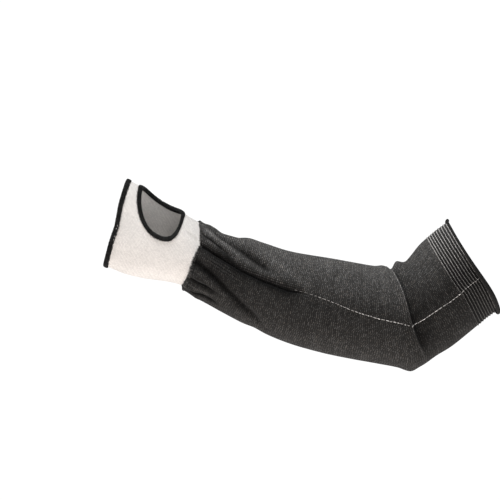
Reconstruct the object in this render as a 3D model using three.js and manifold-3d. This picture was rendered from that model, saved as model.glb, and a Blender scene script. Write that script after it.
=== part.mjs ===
// A knitted cut resistant arm sleeve with a thumb hole cuff, in the shape it takes on a bent arm.
// Sizes are millimetres. +X runs from the hand towards the shoulder and +Z is up, on the thumb side.
// The palm side faces -Y. The origin is the centre of the elbow of the arm that wears the sleeve.
import * as THREE from "three";
import Module from "manifold-3d";

const wasm = await Module();
wasm.setup();
const radians = Math.PI / 180;

// Lengths along the axis of the arm.
const handLength = 88.2; // palm opening to wrist seam
const forearmLength = 231; // wrist seam to elbow
const upperArmLength = 66; // elbow to elastic band
const bandLength = 26.9; // elastic band
const rollLength = 4.5; // curled edge past the band

// How far each stretch of the arm rises above the horizontal, in degrees.
const handSlope = -22.9;
const forearmSlope = -17.5;
const upperArmSlope = 38.1;

// Inside sizes of the worn sleeve: height in the plane of the palm, depth square to it.
const palmHeight = 90.5;
const palmDepth = 43;
const wristHeight = 65.5;
const wristDepth = 52;
const elbowHeight = 104;
const elbowDepth = 92;
const bandHeight = 103;
const bandDepth = 96;
const palmSquareness = 0.05; // how far the palm's oval swells towards a rectangle

// How far the edges stand off square to the arm, in degrees.
const palmSkew = -8.3;
const wristSkew = -3.7;
const bandSkew = 8.6;

// Fabric.
const cuffWall = 1.4;
const tubeWall = 1.7;
const bandWall = 1.7;
const clearance = 0.35; // between one piece and the next

// Wrist seam: the tube's end laps over the cuff.
const seamLap = 8; // cuff hidden under the tube
const seamDip = 5; // how far the tube's edge draws back at the palm side and the back of the hand
const seamLip = 3; // how far the tube's edge juts out over the thumb side
const seamLipAngle = 16; // half the arc of that lip, in degrees
const gatherLength = 104; // how far up the forearm the gathers run
const gatherHeight = 1.8; // fullness of the gathered tube at the seam

// Thumb hole in the cuff.
const thumbHoleCentre = 42.6; // from the palm opening, along the hand
const thumbHoleLength = 49.5; // along the hand
const thumbHoleAngle = 30; // its middle, round from the thumb side towards the palm
const thumbHoleSpan = 108; // round the hand, in degrees
const thumbHoleSlant = 7; // how far its palm end lies towards the wrist
const thumbHoleFullness = 2.3; // 2 is an ellipse, and more is nearer a rectangle

// Overlocked bindings, each a channel that holds the cuff's edge.
const bindingWidth = 4.5; // as seen on the fabric
const bindingNose = 1.3; // solid part past the edge
const bindingThickness = 0.8; // each leg

// Elastic band and the curl at its end.
const bandTaper = 0.4; // how much longer the band is under the arm than on the thumb side
const bandBow = 3.6; // how far its edge bows out below the palm side
const bandBowAngle = 121; // where, round from the thumb side
const bandBowWidth = 35; // degrees to each side
const bandRibs = 9;
const ribHeight = 0.4;
const ribPitch = 2.9;
const curlTurn = 250; // degrees
const curlRadius = 1.85; // to the middle of the curled wall, half way round
const curlGrowth = 0.55; // how much tighter it is on the thumb side, and slacker under the arm
const curlWall = 1.3;

// Stations down the arm. Each stretch runs between two ends; a row gives its share of the length,
// the share of the change in height, depth and lean from one end to the other that is reached there,
// and the sag of the axis below the straight line as a share of the stretch's length.
const handRows = [
  { share: 0, height: 0, depth: 0, lean: 0, sag: 0 },
  { share: 0.25, height: 0.06, depth: 0.3, lean: 0, sag: 0.004 },
  { share: 0.5, height: 0.32, depth: 0.75, lean: 0.2, sag: 0.004 },
  { share: 0.75, height: 0.72, depth: 0.95, lean: 0.7, sag: 0 },
];
const forearmRows = [
  { share: 0, height: 0, depth: 0, lean: 0, sag: 0 },
  { share: 0.05, height: 0.02, depth: 0.04, lean: 0.02, sag: 0.011 },
  { share: 0.1, height: 0.06, depth: 0.1, lean: -0.06, sag: 0.024 },
  { share: 0.15, height: 0.13, depth: 0.17, lean: -0.12, sag: 0.028 },
  { share: 0.21, height: 0.32, depth: 0.27, lean: -0.09, sag: 0.028 },
  { share: 0.29, height: 0.45, depth: 0.41, lean: -0.04, sag: 0.037 },
  { share: 0.4, height: 0.56, depth: 0.56, lean: 0.02, sag: 0.046 },
  { share: 0.53, height: 0.7, depth: 0.71, lean: 0.14, sag: 0.046 },
  { share: 0.66, height: 0.78, depth: 0.83, lean: 0.29, sag: 0.036 },
  { share: 0.78, height: 0.83, depth: 0.9, lean: 0.48, sag: 0.021 },
  { share: 0.88, height: 0.89, depth: 0.95, lean: 0.68, sag: 0.008 },
  { share: 0.95, height: 0.97, depth: 0.98, lean: 0.87, sag: -0.001 },
];
const upperArmRows = [
  { share: 0, height: 0, depth: 0, lean: 0, sag: 0 },
  { share: 0.13, height: -0.9, depth: 0.2, lean: 0.09, sag: 0.012 },
  { share: 0.28, height: -2.2, depth: 0.4, lean: 0.18, sag: 0.02 },
  { share: 0.42, height: -2.2, depth: 0.6, lean: 0.33, sag: 0.015 },
  { share: 0.7, height: -1.4, depth: 0.85, lean: 0.62, sag: 0.01 },
];
const bandRows = [
  { share: 0, height: 0, depth: 0, lean: 0, sag: 0 },
  { share: 1, height: 1, depth: 1, lean: 1, sag: 0 },
];

const elbowLean = -(forearmSlope + upperArmSlope) / 2;
const palm = { height: palmHeight, depth: palmDepth, lean: palmSkew - handSlope };
const wrist = { height: wristHeight, depth: wristDepth, lean: wristSkew - (handSlope + forearmSlope) / 2 };
const elbow = { height: elbowHeight, depth: elbowDepth, lean: elbowLean };
const band = { height: bandHeight, depth: bandDepth, lean: bandSkew - upperArmSlope };

const stretches = [
  { from: palm, to: wrist, length: handLength, slope: handSlope, rows: handRows },
  { from: wrist, to: elbow, length: forearmLength, slope: forearmSlope, rows: forearmRows },
  { from: elbow, to: band, length: upperArmLength, slope: upperArmSlope, rows: upperArmRows },
  { from: band, to: band, length: bandLength + rollLength, slope: upperArmSlope, rows: bandRows },
];

// Places along the axis, from the palm opening.
const wristPlace = handLength;
const elbowPlace = wristPlace + forearmLength;
const bandPlace = elbowPlace + upperArmLength;
const bandEndPlace = bandPlace + bandLength;

const stations = layOutStations();
const columns = Object.keys(stations[0]);

// Walks down the stretches, hand first, and moves the whole so that the elbow is at the origin.
function layOutStations() {
  const list = [];
  let start = { along: 0, x: 0, z: 0 };
  let elbowPoint;
  for (const { from, to, length, slope, rows } of stretches) {
    const direction = [Math.cos(slope * radians), Math.sin(slope * radians)];
    for (const row of rows) {
      const run = row.share * length;
      const fall = row.sag * length;
      list.push({
        along: start.along + run,
        x: start.x + run * direction[0] + fall * direction[1],
        z: start.z + run * direction[1] - fall * direction[0],
        height: from.height + (to.height - from.height) * row.height,
        depth: from.depth + (to.depth - from.depth) * row.depth,
        lean: (from.lean + (to.lean - from.lean) * row.lean) * radians,
      });
    }
    start = {
      along: start.along + length,
      x: start.x + length * direction[0],
      z: start.z + length * direction[1],
    };
    if (to === elbow) elbowPoint = start;
  }
  for (const station of list) {
    station.x -= elbowPoint.x;
    station.z -= elbowPoint.z;
  }
  return list;
}

// The oval section at a distance along the arm, on smooth curves through the stations.
function sectionAt(along) {
  let i = 0;
  while (i < stations.length - 2 && along > stations[i + 1].along) i++;
  const [a, b] = [stations[i], stations[i + 1]];
  const span = b.along - a.along;
  const t = (along - a.along) / span;
  const outside = t < 0 || t > 1;
  const section = {};
  for (const key of columns) {
    const straight = a[key] + (b[key] - a[key]) * t;
    const curve =
      (1 + 2 * t) * (1 - t) ** 2 * a[key] +
      t * (1 - t) ** 2 * span * rateAt(i, key) +
      t * t * (3 - 2 * t) * b[key] +
      t * t * (t - 1) * span * rateAt(i + 1, key);
    section[key] = outside ? straight : curve;
  }
  section.square = palmSquareness * fade(along, 0, wristPlace);
  return section;
}

// How fast a column changes at a station.
function rateAt(i, key) {
  const slopeTo = (j) =>
    (stations[j + 1][key] - stations[j][key]) / (stations[j + 1].along - stations[j].along);
  if (i === 0) return slopeTo(0);
  if (i === stations.length - 1) return slopeTo(i - 1);
  const before = stations[i].along - stations[i - 1].along;
  const after = stations[i + 1].along - stations[i].along;
  return (slopeTo(i) * before + slopeTo(i - 1) * after) / (before + after);
}

// From 1 at the first place down to 0 at the second, smoothly.
function fade(value, from, to) {
  const t = Math.min(1, Math.max(0, (value - from) / (to - from)));
  return 1 - t * t * (3 - 2 * t);
}

function bell(offset, width) {
  return Math.exp(-((offset / width) ** 2));
}

// The place at a distance along the arm and an angle round it, at a height off the arm's skin.
// The angle is 0 on the thumb side, 90 degrees at the palm side and -90 at the back of the hand.
function surfacePoint(along, angle, lift) {
  const section = sectionAt(along);
  const [cos, sin] = [Math.cos(angle), Math.sin(angle)];
  const swell = 1 + section.square * Math.sin(2 * angle) ** 2;
  const [across, through] = [section.height / 2, section.depth / 2];
  const steepness = Math.hypot(cos / across, sin / through);
  const up = cos * (across * swell + lift / (across * steepness));
  const out = sin * (through * swell + lift / (through * steepness));
  return new THREE.Vector3(
    section.x + up * Math.sin(section.lean),
    -out,
    section.z + up * Math.cos(section.lean),
  );
}

// The angle that spans one millimetre of the skin.
function anglePerArc(along, angle) {
  const section = sectionAt(along);
  return 1 / Math.hypot((section.height / 2) * Math.sin(angle), (section.depth / 2) * Math.cos(angle));
}

// Gathers that run up the forearm from the seam. Angles are degrees round from the thumb side,
// at the seam and at the far end; length and depth are shares of the gathers' own.
const gathers = [
  { name: "main fold", atSeam: 71, atEnd: 80, length: 1, width: 4.6, depth: 1 },
  { name: "under the main fold", atSeam: 101, atEnd: 146, length: 0.8, width: 5, depth: 0.8 },
  { name: "lower palm side", atSeam: 129, atEnd: 140, length: 0.4, width: 3.6, depth: 0.8 },
  { name: "underside", atSeam: 160, atEnd: 166, length: 0.35, width: 3.6, depth: 0.7 },
  { name: "below the lip", atSeam: 24, atEnd: 36, length: 0.4, width: 3.4, depth: 0.8 },
  { name: "upper palm side", atSeam: 49, atEnd: 57, length: 0.42, width: 3.6, depth: 0.8 },
  { name: "upper back", atSeam: -32, atEnd: -44, length: 0.5, width: 3.6, depth: 0.8 },
  { name: "middle back", atSeam: -68, atEnd: -84, length: 0.9, width: 4.6, depth: 0.9 },
  { name: "lower back", atSeam: -106, atEnd: -122, length: 0.6, width: 4.2, depth: 0.8 },
  { name: "underside back", atSeam: -142, atEnd: -152, length: 0.45, width: 3.8, depth: 0.8 },
];

// Folds that run across the inside of the elbow. Place and width are along the arm, on its thumb
// side; drift is how far the fold has moved towards the shoulder a quarter turn round; reach is the
// angle at which it has faded out.
const elbowFolds = [
  { name: "swell before the crease", place: -12.5, drift: 9, reach: 120, width: 7.6, height: 4 },
  { name: "crease", place: -12.9, drift: 20, reach: 150, width: 3.6, height: -3.2 },
  { name: "roll after the crease", place: 6.3, drift: 14, reach: 80, width: 6.4, height: 6.3 },
  { name: "second crease", place: 25, drift: 14, reach: 65, width: 4.4, height: -4.7 },
];

// Fullness of the gathered tube over the arm.
function gatherLift(along, angle) {
  const past = along - wristPlace;
  let groove = 0;
  for (const fold of gathers) {
    const end = fold.length * gatherLength;
    const middle = fold.atSeam + (fold.atEnd - fold.atSeam) * Math.min(1, Math.max(0, past / end));
    const turn = angleBetween(angle, middle * radians);
    const offset = turn / anglePerArc(along, middle * radians);
    groove += fold.depth * bell(offset, fold.width) * fade(past, 0.35 * end, end);
  }
  const fullness = fade(past, seamDip + seamLap, 0.6 * gatherLength);
  return gatherHeight * (Math.max(0, fullness * (1 - groove)) - (1 - fullness) * Math.min(1, groove));
}

function elbowLift(along, angle) {
  const turn = Math.abs(angleBetween(angle, 0)) / radians;
  let lift = 0;
  for (const fold of elbowFolds) {
    const middle = elbowPlace + fold.place + fold.drift * (turn / 90) ** 1.5;
    lift += fold.height * bell(along - middle, fold.width) * fade(turn, 0, fold.reach);
  }
  return lift;
}

// The band's outer edge, as a distance along the arm.
function bandEdge(angle) {
  const bow = bandBow * bell(angleBetween(angle, bandBowAngle * radians), bandBowWidth * radians);
  return bandEndPlace - (bandTaper / 2) * Math.cos(angle) + bow;
}

function angleBetween(a, b) {
  return Math.atan2(Math.sin(a - b), Math.cos(a - b));
}

// The cuff's hidden end, and the inside of the tube: over the cuff at the seam, then on the arm.
const cuffEndPlace = wristPlace + seamDip + seamLap;

function tubeLift(along, angle) {
  const overCuff = (cuffWall + clearance) * fade(along, cuffEndPlace + 1, cuffEndPlace + 12);
  return overCuff + gatherLift(along, angle) + elbowLift(along, angle);
}

// The tube's wrist edge draws back at the sides and juts out in a lip on the thumb side.
function seamEdge(angle) {
  const lip = seamLip * fade(Math.abs(angleBetween(angle, 0)), 0, seamLipAngle * radians);
  return wristPlace + seamDip * Math.sin(angle) ** 2 - lip;
}

// Joins closed rings of points into one closed skin: each ring to the next, and the last to the first.
function closedLoft(rings) {
  const count = rings[0].length;
  const index = [];
  rings.forEach((ring, k) => {
    const next = (k + 1) % rings.length;
    for (let j = 0; j < count; j++) {
      const after = (j + 1) % count;
      const [a, b] = [k * count + j, k * count + after];
      const [c, d] = [next * count + j, next * count + after];
      index.push(a, b, c, b, d, c);
    }
  });
  return skin(rings.flat(), index);
}

function skin(points, index) {
  const geometry = new THREE.BufferGeometry().setFromPoints(points);
  geometry.setIndex(index);
  geometry.computeVertexNormals();
  return geometry;
}

function ringOf(segments, place) {
  return Array.from({ length: segments }, (_, j) => place((j / segments) * 2 * Math.PI));
}

// A wall: outer rings from the hand end to the shoulder end, then inner rings back.
function wall(segments, outerRows, innerRows) {
  const outer = outerRows.map((place) => ringOf(segments, place));
  const inner = innerRows.map((place) => ringOf(segments, place));
  return closedLoft([...outer, ...inner.reverse()]);
}

function evenly(from, to, steps) {
  return Array.from({ length: steps + 1 }, (_, i) => from + ((to - from) * i) / steps);
}

function asSolid(geometry) {
  return new wasm.Manifold(
    new wasm.Mesh({
      numProp: 3,
      vertProperties: new Float32Array(geometry.getAttribute("position").array),
      triVerts: new Uint32Array(geometry.getIndex().array),
    }),
  );
}

function asGeometry(solid) {
  const mesh = solid.getMesh();
  const geometry = new THREE.BufferGeometry();
  geometry.setAttribute("position", new THREE.BufferAttribute(mesh.vertProperties, 3));
  geometry.setIndex(new THREE.BufferAttribute(mesh.triVerts, 1));
  geometry.computeVertexNormals();
  return geometry;
}

// A point on the thumb hole's rim, turn by turn, drawn in towards its middle and lifted.
const thumbHoleSides = 52;

function thumbHolePoint(turn, inset, lift) {
  const halfLength = thumbHoleLength / 2;
  const halfSpan = (thumbHoleSpan / 2) * radians;
  const full = (share) => Math.sign(share) * Math.abs(share) ** (2 / thumbHoleFullness);
  const [cos, sin] = [full(Math.cos(turn)), full(Math.sin(turn))];
  const along = thumbHoleCentre + halfLength * cos + thumbHoleSlant * (0.5 + 0.5 * sin) ** 4;
  const angle = thumbHoleAngle * radians + halfSpan * sin;
  const scale = anglePerArc(along, angle);
  const halfArc = halfSpan / scale;
  const length = Math.hypot(cos / halfLength, sin / halfArc);
  const insetAlong = (inset * cos) / (halfLength * length);
  const insetAngle = ((inset * sin) / (halfArc * length)) * scale;
  return surfacePoint(along - insetAlong, angle - insetAngle, lift);
}

// The plug that cuts the thumb hole: a ring outside the cuff, a ring inside it, and a tip to each.
function thumbHolePlug() {
  const [outside, inside, tip] = [10, -6, 46];
  const middle = thumbHoleAngle * radians;
  const outerRing = ringOf(thumbHoleSides, (turn) => thumbHolePoint(turn, 0, outside));
  const innerRing = ringOf(thumbHoleSides, (turn) => thumbHolePoint(turn, 0, inside));
  const points = [
    surfacePoint(thumbHoleCentre, middle, tip),
    ...outerRing,
    ...innerRing,
    surfacePoint(thumbHoleCentre, middle, -palmDepth / 2),
  ];
  const last = points.length - 1;
  const index = [];
  for (let j = 0; j < thumbHoleSides; j++) {
    const after = (j + 1) % thumbHoleSides;
    const [a, b] = [1 + j, 1 + after];
    const [c, d] = [a + thumbHoleSides, b + thumbHoleSides];
    index.push(0, b, a, a, b, c, b, d, c, c, d, last);
  }
  return skin(points, index);
}

const cuffSides = 48;
const cuffRows = 10;
const cuffEdge = bindingNose + clearance; // from the palm opening to the cuff's own edge

function handCuff() {
  const places = evenly(cuffEdge, cuffEndPlace, cuffRows);
  const outer = places.map((along) => (angle) => surfacePoint(along, angle, cuffWall));
  const inner = places.map((along) => (angle) => surfacePoint(along, angle, 0));
  const solid = asSolid(wall(cuffSides, outer, inner));
  return asGeometry(solid.subtract(asSolid(thumbHolePlug())));
}

// The section of a binding: distance past the fabric's edge, and height off the arm. It goes round
// the nose and both legs, and back along the slot that holds the fabric.
function bindingSection() {
  const legEnd = bindingNose + clearance - bindingWidth;
  const slotTop = cuffWall + clearance;
  const slotBottom = -clearance;
  const top = slotTop + bindingThickness;
  const bottom = slotBottom - bindingThickness;
  const nose = clearance + bindingNose;
  return [
    [legEnd, slotTop],
    [legEnd, top],
    [0, top],
    [nose, cuffWall],
    [nose, 0],
    [0, bottom],
    [legEnd, bottom],
    [legEnd, slotBottom],
    [clearance, slotBottom],
    [clearance, slotTop],
  ];
}

function palmBinding() {
  const rings = bindingSection().map(([past, lift]) =>
    ringOf(cuffSides, (angle) => surfacePoint(cuffEdge - past, angle, lift)),
  );
  return closedLoft(rings.reverse());
}

function thumbBinding() {
  const rings = bindingSection().map(([past, lift]) =>
    ringOf(thumbHoleSides, (turn) => thumbHolePoint(turn, past, lift)),
  );
  return closedLoft(rings.reverse());
}

// The rows of the tube: close together in the gathers and at the elbow, wider apart between.
const tubeSides = 46;
const elbowZoneBefore = 20; // finer rows, this far before the elbow
const elbowZoneAfter = 30; // and this far after it

function armTube() {
  const zoneStart = elbowPlace - elbowZoneBefore;
  const zoneEnd = elbowPlace + elbowZoneAfter;
  const gatherEnd = wristPlace + 0.6 * gatherLength;
  const places = [
    ...evenly(wristPlace, gatherEnd, 8),
    ...evenly(gatherEnd, zoneStart, 5).slice(1),
    ...evenly(zoneStart, zoneEnd, 15).slice(1),
    ...evenly(zoneEnd, bandPlace - clearance, 2).slice(1),
  ];
  // The first rows follow the seam's edge, and the next ones run out of it.
  const drawnTo = (along, angle) =>
    along + (seamEdge(angle) - wristPlace) * fade(along, wristPlace, gatherEnd);
  const rowAt = (thickness) => (along) => (angle) => {
    const place = drawnTo(along, angle);
    return surfacePoint(place, angle, tubeLift(place, angle) + thickness);
  };
  return wall(tubeSides, places.map(rowAt(tubeWall)), places.map(rowAt(0)));
}

// The elastic band: raised ribs round the outside, smooth inside.
const bandSides = 36;

function elasticBand() {
  const margin = (bandLength - bandRibs * ribPitch) / 2;
  const row = (distance, lift) => (angle) => {
    const stretch = (bandEdge(angle) - bandPlace) / bandLength;
    return surfacePoint(bandPlace + distance * stretch, angle, lift);
  };
  const outer = [row(0, bandWall)];
  for (let rib = 0; rib < bandRibs; rib++) {
    const distance = margin + rib * ribPitch;
    outer.push(row(distance + 0.05 * ribPitch, bandWall));
    outer.push(row(distance + 0.5 * ribPitch, bandWall + ribHeight));
  }
  outer.push(row(bandLength, bandWall));
  return wall(bandSides, outer, [row(0, 0), row(bandLength, 0)]);
}

// The raw edge past the band, which curls outwards: out along one face of the curl, back along the other.
function rolledEdge() {
  const steps = 5;
  const turns = evenly(0, curlTurn * radians, steps);
  const face = (offset) =>
    turns.map((turn) =>
      ringOf(bandSides, (angle) => {
        const middle = curlRadius - curlGrowth * Math.cos(angle);
        const past = clearance + (middle + offset) * Math.sin(turn);
        const lift = bandWall / 2 + middle - (middle + offset) * Math.cos(turn);
        return surfacePoint(bandEdge(angle) + past, angle, lift);
      }),
    );
  return closedLoft([...face(-curlWall / 2), ...face(curlWall / 2).reverse()]);
}

// Yarns.
const whiteYarn = { color: 0xece9e6, roughness: 0.95, metalness: 0 };
const blackYarn = { color: 0x17181a, roughness: 0.9, metalness: 0 };
const heatherYarn = { color: 0x38383a, roughness: 0.95, metalness: 0 };
const stripedYarn = { color: 0x55534f, roughness: 0.9, metalness: 0 };

function piece(name, geometry, yarn) {
  const mesh = new THREE.Mesh(geometry, new THREE.MeshStandardMaterial(yarn));
  mesh.name = name;
  return mesh;
}

const sleeve = new THREE.Group();
sleeve.add(
  piece("hand_cuff", handCuff(), whiteYarn),
  piece("palm_edge_binding", palmBinding(), blackYarn),
  piece("thumb_hole_binding", thumbBinding(), blackYarn),
  piece("arm_tube", armTube(), heatherYarn),
  piece("elastic_band", elasticBand(), stripedYarn),
  piece("rolled_edge", rolledEdge(), heatherYarn),
);

export default sleeve;
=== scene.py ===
# A knitted cut resistant arm sleeve with a thumb hole cuff, in the shape it takes on a bent arm.
# Sizes are millimetres until a mesh is written, which is in metres.
# +X runs from the hand towards the shoulder, -Y is the palm side and +Z the thumb side.
import math

import bpy
import numpy as np
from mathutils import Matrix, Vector


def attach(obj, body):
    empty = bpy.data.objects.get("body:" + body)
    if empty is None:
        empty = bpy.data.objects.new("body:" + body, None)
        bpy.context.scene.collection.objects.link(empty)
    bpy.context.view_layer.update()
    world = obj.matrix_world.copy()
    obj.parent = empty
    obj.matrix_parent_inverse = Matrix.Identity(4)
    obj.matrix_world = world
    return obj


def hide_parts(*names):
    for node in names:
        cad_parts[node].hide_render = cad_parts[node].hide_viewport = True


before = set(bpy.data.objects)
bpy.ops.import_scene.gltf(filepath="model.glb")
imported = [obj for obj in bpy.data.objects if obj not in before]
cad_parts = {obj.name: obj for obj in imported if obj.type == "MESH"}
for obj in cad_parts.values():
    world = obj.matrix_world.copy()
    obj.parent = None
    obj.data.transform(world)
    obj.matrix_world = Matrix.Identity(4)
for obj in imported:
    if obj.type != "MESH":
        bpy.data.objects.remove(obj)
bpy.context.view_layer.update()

rng = np.random.default_rng(7)

# Sizes shared with the solids.
hand_length = 88.2
forearm_length = 231.0
upper_arm_length = 66.0
band_length = 26.9
roll_length = 4.5
hand_slope = -22.9
forearm_slope = -17.5
upper_arm_slope = 38.1
palm_square = 0.05
cuff_wall = 1.4
tube_wall = 1.7
band_wall = 1.7
clearance = 0.35
seam_lap = 8.0
seam_dip = 5.0
seam_lip = 3.0
seam_lip_angle = 16.0
gather_height = 1.8
thumb_centre = 42.6
thumb_length = 49.5
thumb_angle = 30.0
thumb_span = 108.0
thumb_slant = 7.0
thumb_fullness = 2.3
binding_width = 4.5
binding_nose = 1.3
binding_thickness = 0.8
band_taper = 0.4
band_bow = 3.6
band_bow_angle = 121.0
band_bow_width = 35.0
curl_radius = 1.85
curl_growth = 0.55

wrist_place = hand_length
elbow_place = wrist_place + forearm_length
band_place = elbow_place + upper_arm_length
band_end = band_place + band_length
cuff_end = wrist_place + seam_dip + seam_lap
cuff_edge = binding_nose + clearance

# Inside sizes and leans of the sections that the stretches run between.
palm = dict(height=90.5, depth=43.0, lean=-8.3 - hand_slope)
wrist = dict(height=65.5, depth=52.0, lean=-3.7 - (hand_slope + forearm_slope) / 2)
elbow = dict(height=104.0, depth=92.0, lean=-(forearm_slope + upper_arm_slope) / 2)
band = dict(height=103.0, depth=96.0, lean=8.6 - upper_arm_slope)

# Columns: share of the stretch, share of the change in height, in depth and in lean, sag of the axis.
hand_rows = [
    (0, 0, 0, 0, 0),
    (0.25, 0.06, 0.3, 0, 0.004),
    (0.5, 0.32, 0.75, 0.2, 0.004),
    (0.75, 0.72, 0.95, 0.7, 0),
]
forearm_rows = [
    (0, 0, 0, 0, 0),
    (0.05, 0.02, 0.04, 0.02, 0.011),
    (0.1, 0.06, 0.1, -0.06, 0.024),
    (0.15, 0.13, 0.17, -0.12, 0.028),
    (0.21, 0.32, 0.27, -0.09, 0.028),
    (0.29, 0.45, 0.41, -0.04, 0.037),
    (0.4, 0.56, 0.56, 0.02, 0.046),
    (0.53, 0.7, 0.71, 0.14, 0.046),
    (0.66, 0.78, 0.83, 0.29, 0.036),
    (0.78, 0.83, 0.9, 0.48, 0.021),
    (0.88, 0.89, 0.95, 0.68, 0.008),
    (0.95, 0.97, 0.98, 0.87, -0.001),
]
upper_arm_rows = [
    (0, 0, 0, 0, 0),
    (0.13, -0.9, 0.2, 0.09, 0.012),
    (0.28, -2.2, 0.4, 0.18, 0.02),
    (0.42, -2.2, 0.6, 0.33, 0.015),
    (0.7, -1.4, 0.85, 0.62, 0.01),
]
band_rows = [(0, 0, 0, 0, 0), (1, 1, 1, 1, 0)]
stretches = [
    (palm, wrist, hand_length, hand_slope, hand_rows),
    (wrist, elbow, forearm_length, forearm_slope, forearm_rows),
    (elbow, band, upper_arm_length, upper_arm_slope, upper_arm_rows),
    (band, band, band_length + roll_length, upper_arm_slope, band_rows),
]


def lay_out_stations():
    rows = []
    along, x, z = 0.0, 0.0, 0.0
    elbow_point = (0.0, 0.0)
    for start, end, length, slope, table in stretches:
        c, s = math.cos(math.radians(slope)), math.sin(math.radians(slope))
        for share, height, depth, lean, sag in table:
            run, fall = share * length, sag * length
            rows.append((
                along + run,
                x + run * c + fall * s,
                z + run * s - fall * c,
                start["height"] + (end["height"] - start["height"]) * height,
                start["depth"] + (end["depth"] - start["depth"]) * depth,
                math.radians(start["lean"] + (end["lean"] - start["lean"]) * lean),
            ))
        along, x, z = along + length, x + length * c, z + length * s
        if end is elbow:
            elbow_point = (x, z)
    table = np.array(rows)
    table[:, 1] -= elbow_point[0]
    table[:, 2] -= elbow_point[1]
    return table


stations = lay_out_stations()


def station_rates():
    steps = np.diff(stations, axis=0) / np.diff(stations[:, 0])[:, None]
    spans = np.diff(stations[:, 0])
    rates = np.empty_like(stations)
    rates[0], rates[-1] = steps[0], steps[-1]
    before, after = spans[:-1, None], spans[1:, None]
    rates[1:-1] = (steps[1:] * before + steps[:-1] * after) / (before + after)
    return rates


rates = station_rates()


def section(along):
    """Axis point, height, depth and lean of the section at each distance along the arm."""
    along = np.asarray(along, float)
    i = np.clip(np.searchsorted(stations[:, 0], along, side="right") - 1, 0, len(stations) - 2)
    a, b = stations[i], stations[i + 1]
    span = (b[..., 0] - a[..., 0])[..., None]
    t = ((along - a[..., 0])[..., None]) / span
    curve = (
        (1 + 2 * t) * (1 - t) ** 2 * a
        + t * (1 - t) ** 2 * span * rates[i]
        + t * t * (3 - 2 * t) * b
        + t * t * (t - 1) * span * rates[i + 1]
    )
    straight = a + (b - a) * t
    out = np.where((t < 0) | (t > 1), straight, curve)
    return [out[..., k] for k in range(1, 6)]


def fade(value, start, end):
    t = np.clip((np.asarray(value, float) - start) / (end - start), 0, 1)
    return 1 - t * t * (3 - 2 * t)


def bell(offset, width):
    return np.exp(-((np.asarray(offset, float) / width) ** 2))


def between(a, b):
    return np.arctan2(np.sin(a - b), np.cos(a - b))


def surface(along, angle, lift=0.0):
    """Point at a distance along the arm and an angle round it, lifted off the arm's skin."""
    along, angle, lift = np.broadcast_arrays(
        np.asarray(along, float), np.asarray(angle, float), np.asarray(lift, float)
    )
    x, z, height, depth, lean = section(along)
    c, s = np.cos(angle), np.sin(angle)
    swell = 1 + palm_square * fade(along, 0, wrist_place) * np.sin(2 * angle) ** 2
    across, through = height / 2, depth / 2
    steep = np.hypot(c / across, s / through)
    up = c * (across * swell + lift / (across * steep))
    out = s * (through * swell + lift / (through * steep))
    return np.stack([x + up * np.sin(lean), -out, z + up * np.cos(lean)], axis=-1)


def angle_per_arc(along, angle):
    _, _, height, depth, _ = section(along)
    return 1 / np.hypot(height / 2 * np.sin(angle), depth / 2 * np.cos(angle))


# The camera, and where a point shows in the photograph's pixels. One pixel is this many millimetres.
pixel = 1.05
picture_size = 500
picture_middle = picture_size / 2
origin_px = (402.0, 321.0)
camera_distance = 8000.0
view_centre = ((picture_middle - origin_px[0]) * pixel, (origin_px[1] - picture_middle) * pixel)


def shown_at(points):
    scale = camera_distance / (camera_distance + points[..., 1]) / pixel
    px = picture_middle + (points[..., 0] - view_centre[0]) * scale
    py = picture_middle - (points[..., 2] - view_centre[1]) * scale
    return np.stack([px, py], axis=-1)


search_along, search_angle = np.meshgrid(
    np.arange(0, band_end + roll_length + 4, 0.5), np.radians(np.arange(0, 181, 0.5)), indexing="ij"
)
skin_lift = 2.0
search_shown = shown_at(surface(search_along, search_angle, skin_lift))


def locate(pixels):
    """Distance along and angle round of the near surface at each picture point.
    Where the surface is seen nearly edge on, the nearest search point stays as it is."""
    step_along, step_round, edge_on = 0.1, 0.002, 12
    found = []
    for pixel_point in pixels:
        gap = np.sum((search_shown - pixel_point) ** 2, axis=-1)
        k = np.unravel_index(np.argmin(gap), gap.shape)
        at = np.array([search_along[k], search_angle[k]])
        for _ in range(4):
            here = shown_at(surface(at[0], at[1], skin_lift))
            ahead = shown_at(surface(at[0] + step_along, at[1], skin_lift)) - here
            sideways = shown_at(surface(at[0], at[1] + step_round, skin_lift)) - here
            slope = np.stack([ahead / step_along, sideways / step_round], axis=1)
            if abs(np.linalg.det(slope)) > edge_on:
                move = np.linalg.solve(slope, pixel_point - here)
                at = at + np.clip(move, (-0.4, -0.01), (0.4, 0.01))
        found.append(at)
    return np.array(found)


def trace(pixels, step=2.5):
    """The same for points all along a line between picture points."""
    pixels = np.array(pixels, float)
    run = np.concatenate([[0], np.cumsum(np.hypot(*np.diff(pixels, axis=0).T))])
    at = np.linspace(0, run[-1], max(2, int(run[-1] / step)))
    line = locate(np.stack([np.interp(at, run, pixels[:, k]) for k in (0, 1)], axis=1))
    return line[np.argsort(line[:, 0])]


def by_angle(line):
    """The same line, in order of the angle round."""
    return line[np.argsort(line[:, 1])]


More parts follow.
